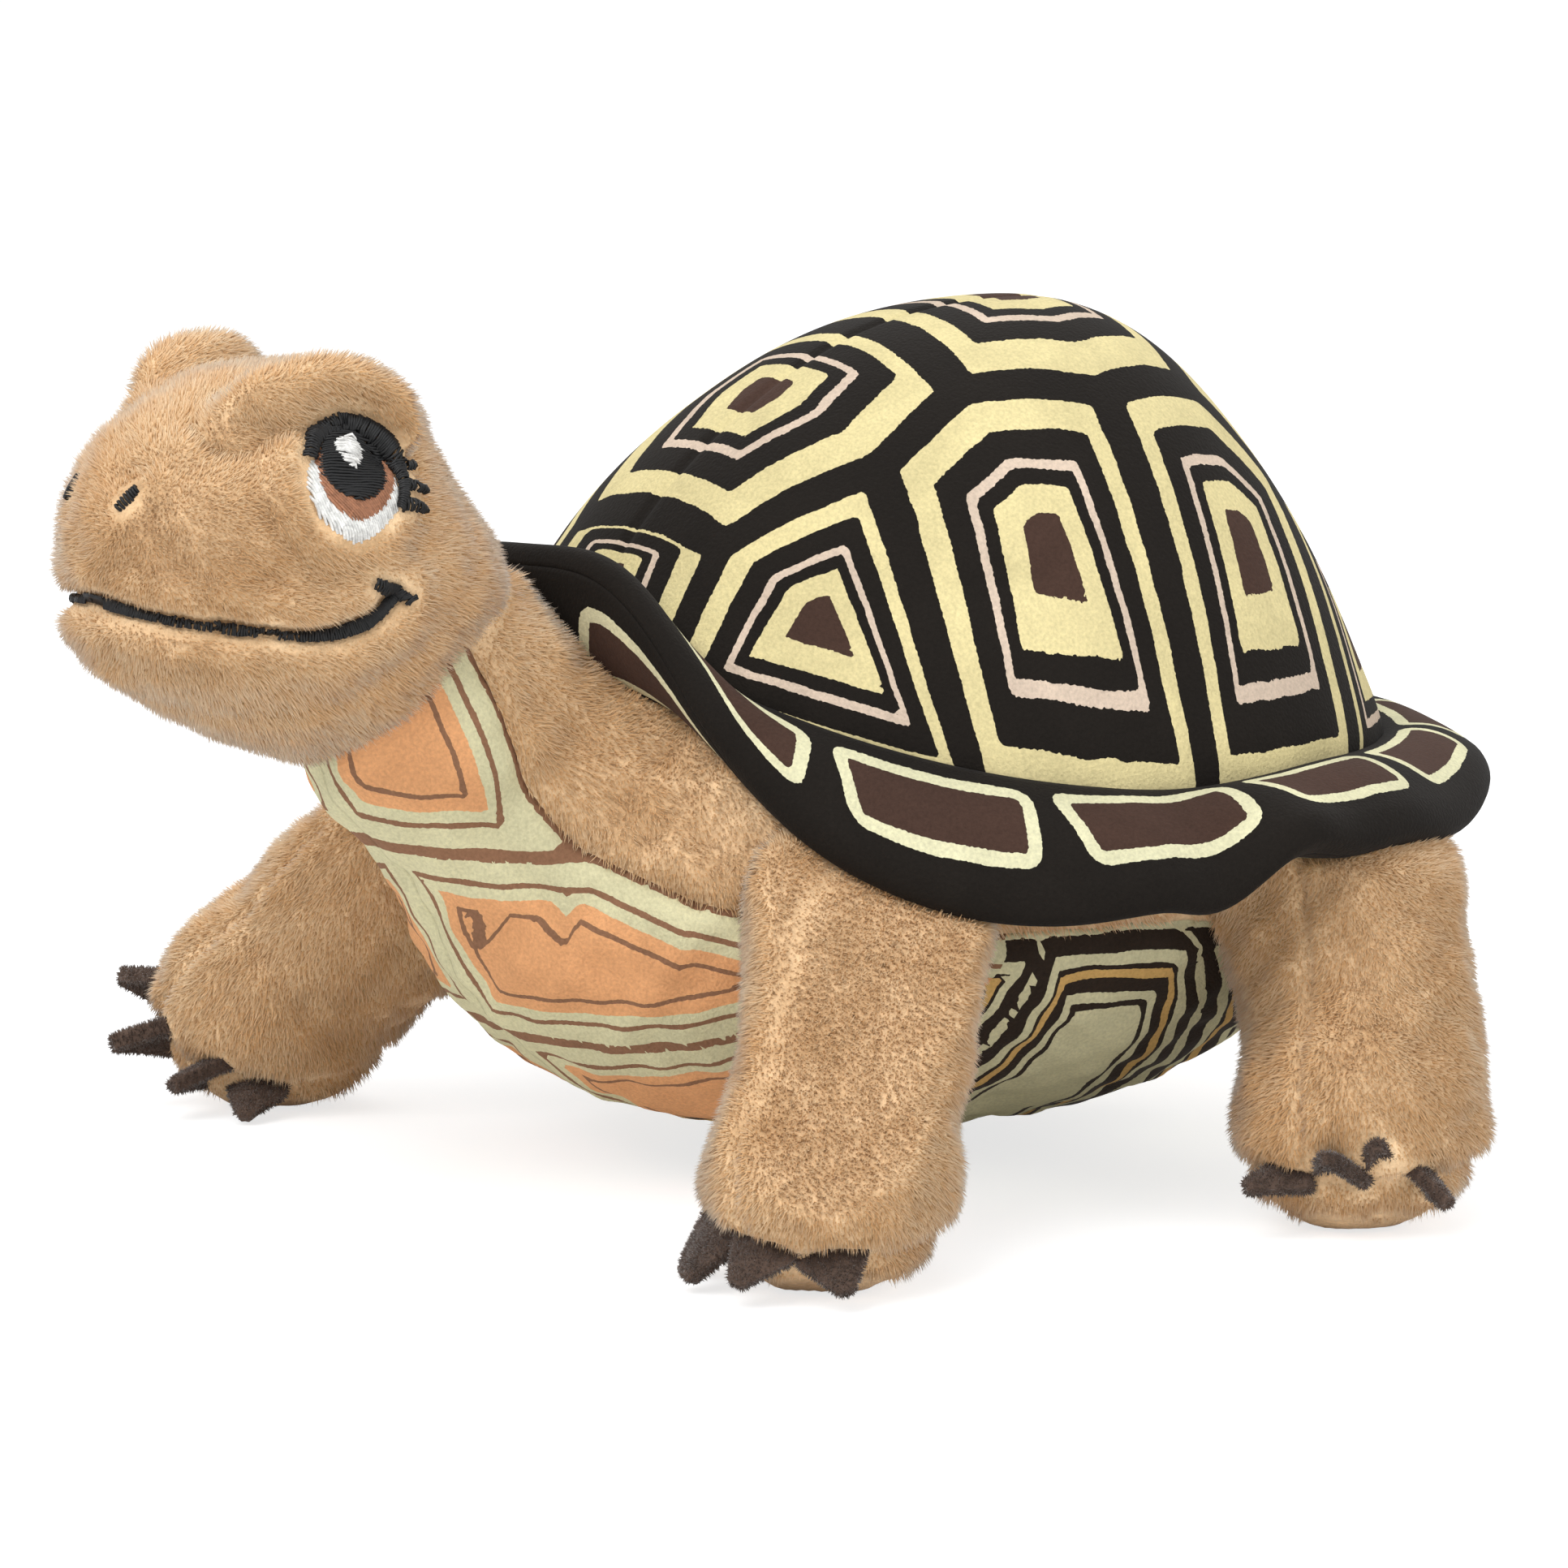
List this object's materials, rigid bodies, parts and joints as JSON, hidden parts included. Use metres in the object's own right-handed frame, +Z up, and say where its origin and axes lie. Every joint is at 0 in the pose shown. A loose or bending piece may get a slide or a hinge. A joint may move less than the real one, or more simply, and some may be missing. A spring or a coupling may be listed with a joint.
{
  "type": "plush turtle",
  "caption": "Stuffed plush turtle with a padded printed shell, a nodding head, swinging legs with felt claws and a short tail.",
  "frame": {"origin": "on the ground under the middle of the turtle's overall box", "axes": "+X to the turtle's left, -Y towards its snout, +Z up"},
  "size_m": [0.2208, 0.233, 0.1315],
  "materials": {
    "plush": "matte",
    "shell_print": "matte",
    "rim_print": "matte",
    "shell_lining": "matte",
    "belly_print": "matte",
    "wadding": "matte",
    "felt": "matte",
    "black_thread": "satin",
    "brown_thread": "satin",
    "white_thread": "satin"
  },
  "bodies": {
    "root": {"dome_panel_left": "shell_print", "dome_panel_right": "shell_print", "dome_stuffing": "wadding", "shell_base": "shell_lining", "rim_top": "rim_print", "rim_bottom": "rim_print", "rim_padding": "wadding", "torso_cover": "plush", "belly_panel_left": "belly_print", "belly_panel_right": "belly_print", "torso_stuffing": "wadding"},
    "head": {"head_cover": "plush", "chin_panel": "plush", "head_stuffing": "wadding", "brow_left": "plush", "brow_right": "plush", "mouth_stitch": "black_thread", "nostril_left": "black_thread", "nostril_right": "black_thread", "eyelid_left": "black_thread", "eyelid_right": "black_thread", "pupil_left": "black_thread", "pupil_right": "black_thread", "iris_left": "brown_thread", "iris_right": "brown_thread", "eye_white_left": "white_thread", "eye_white_right": "white_thread", "eye_glint_left": "white_thread", "eye_glint_right": "white_thread"},
    "leg_front_left": {"leg_cover_front_left": "plush", "sole_front_left": "plush", "leg_stuffing_front_left": "wadding", "claws_front_left": "felt"},
    "leg_front_right": {"leg_cover_front_right": "plush", "sole_front_right": "plush", "leg_stuffing_front_right": "wadding", "claws_front_right": "felt"},
    "leg_rear_left": {"leg_cover_rear_left": "plush", "sole_rear_left": "plush", "leg_stuffing_rear_left": "wadding", "claws_rear_left": "felt"},
    "leg_rear_right": {"leg_cover_rear_right": "plush", "sole_rear_right": "plush", "leg_stuffing_rear_right": "wadding", "claws_rear_right": "felt"},
    "tail": {"tail_cover": "plush", "tail_stuffing": "wadding"}
  },
  "joints": [
    {"name": "head_nod", "type": "hinge", "parent": "root", "child": "head", "pos_m": [0, -0.0565, 0.0735], "axis": [1, 0, 0], "range_deg": [-10, 18], "stiffness_Nm_per_rad": 0.6},
    {"name": "front_left_swing", "type": "hinge", "parent": "root", "child": "leg_front_left", "pos_m": [0.056, -0.019, 0.0385], "axis": [1, 0, 0], "range_deg": [-20, 20], "stiffness_Nm_per_rad": 0.4},
    {"name": "front_right_swing", "type": "hinge", "parent": "root", "child": "leg_front_right", "pos_m": [-0.056, -0.019, 0.0385], "axis": [1, 0, 0], "range_deg": [-20, 20], "stiffness_Nm_per_rad": 0.4},
    {"name": "rear_left_swing", "type": "hinge", "parent": "root", "child": "leg_rear_left", "pos_m": [0.059, 0.064, 0.043], "axis": [1, 0, 0], "range_deg": [-20, 20], "stiffness_Nm_per_rad": 0.4},
    {"name": "rear_right_swing", "type": "hinge", "parent": "root", "child": "leg_rear_right", "pos_m": [-0.059, 0.064, 0.043], "axis": [1, 0, 0], "range_deg": [-20, 20], "stiffness_Nm_per_rad": 0.4},
    {"name": "tail_wag", "type": "hinge", "parent": "root", "child": "tail", "pos_m": [0, 0.0985, 0.042], "axis": [1, 0, 0], "range_deg": [-20, 20], "stiffness_Nm_per_rad": 0.01}
  ]
}
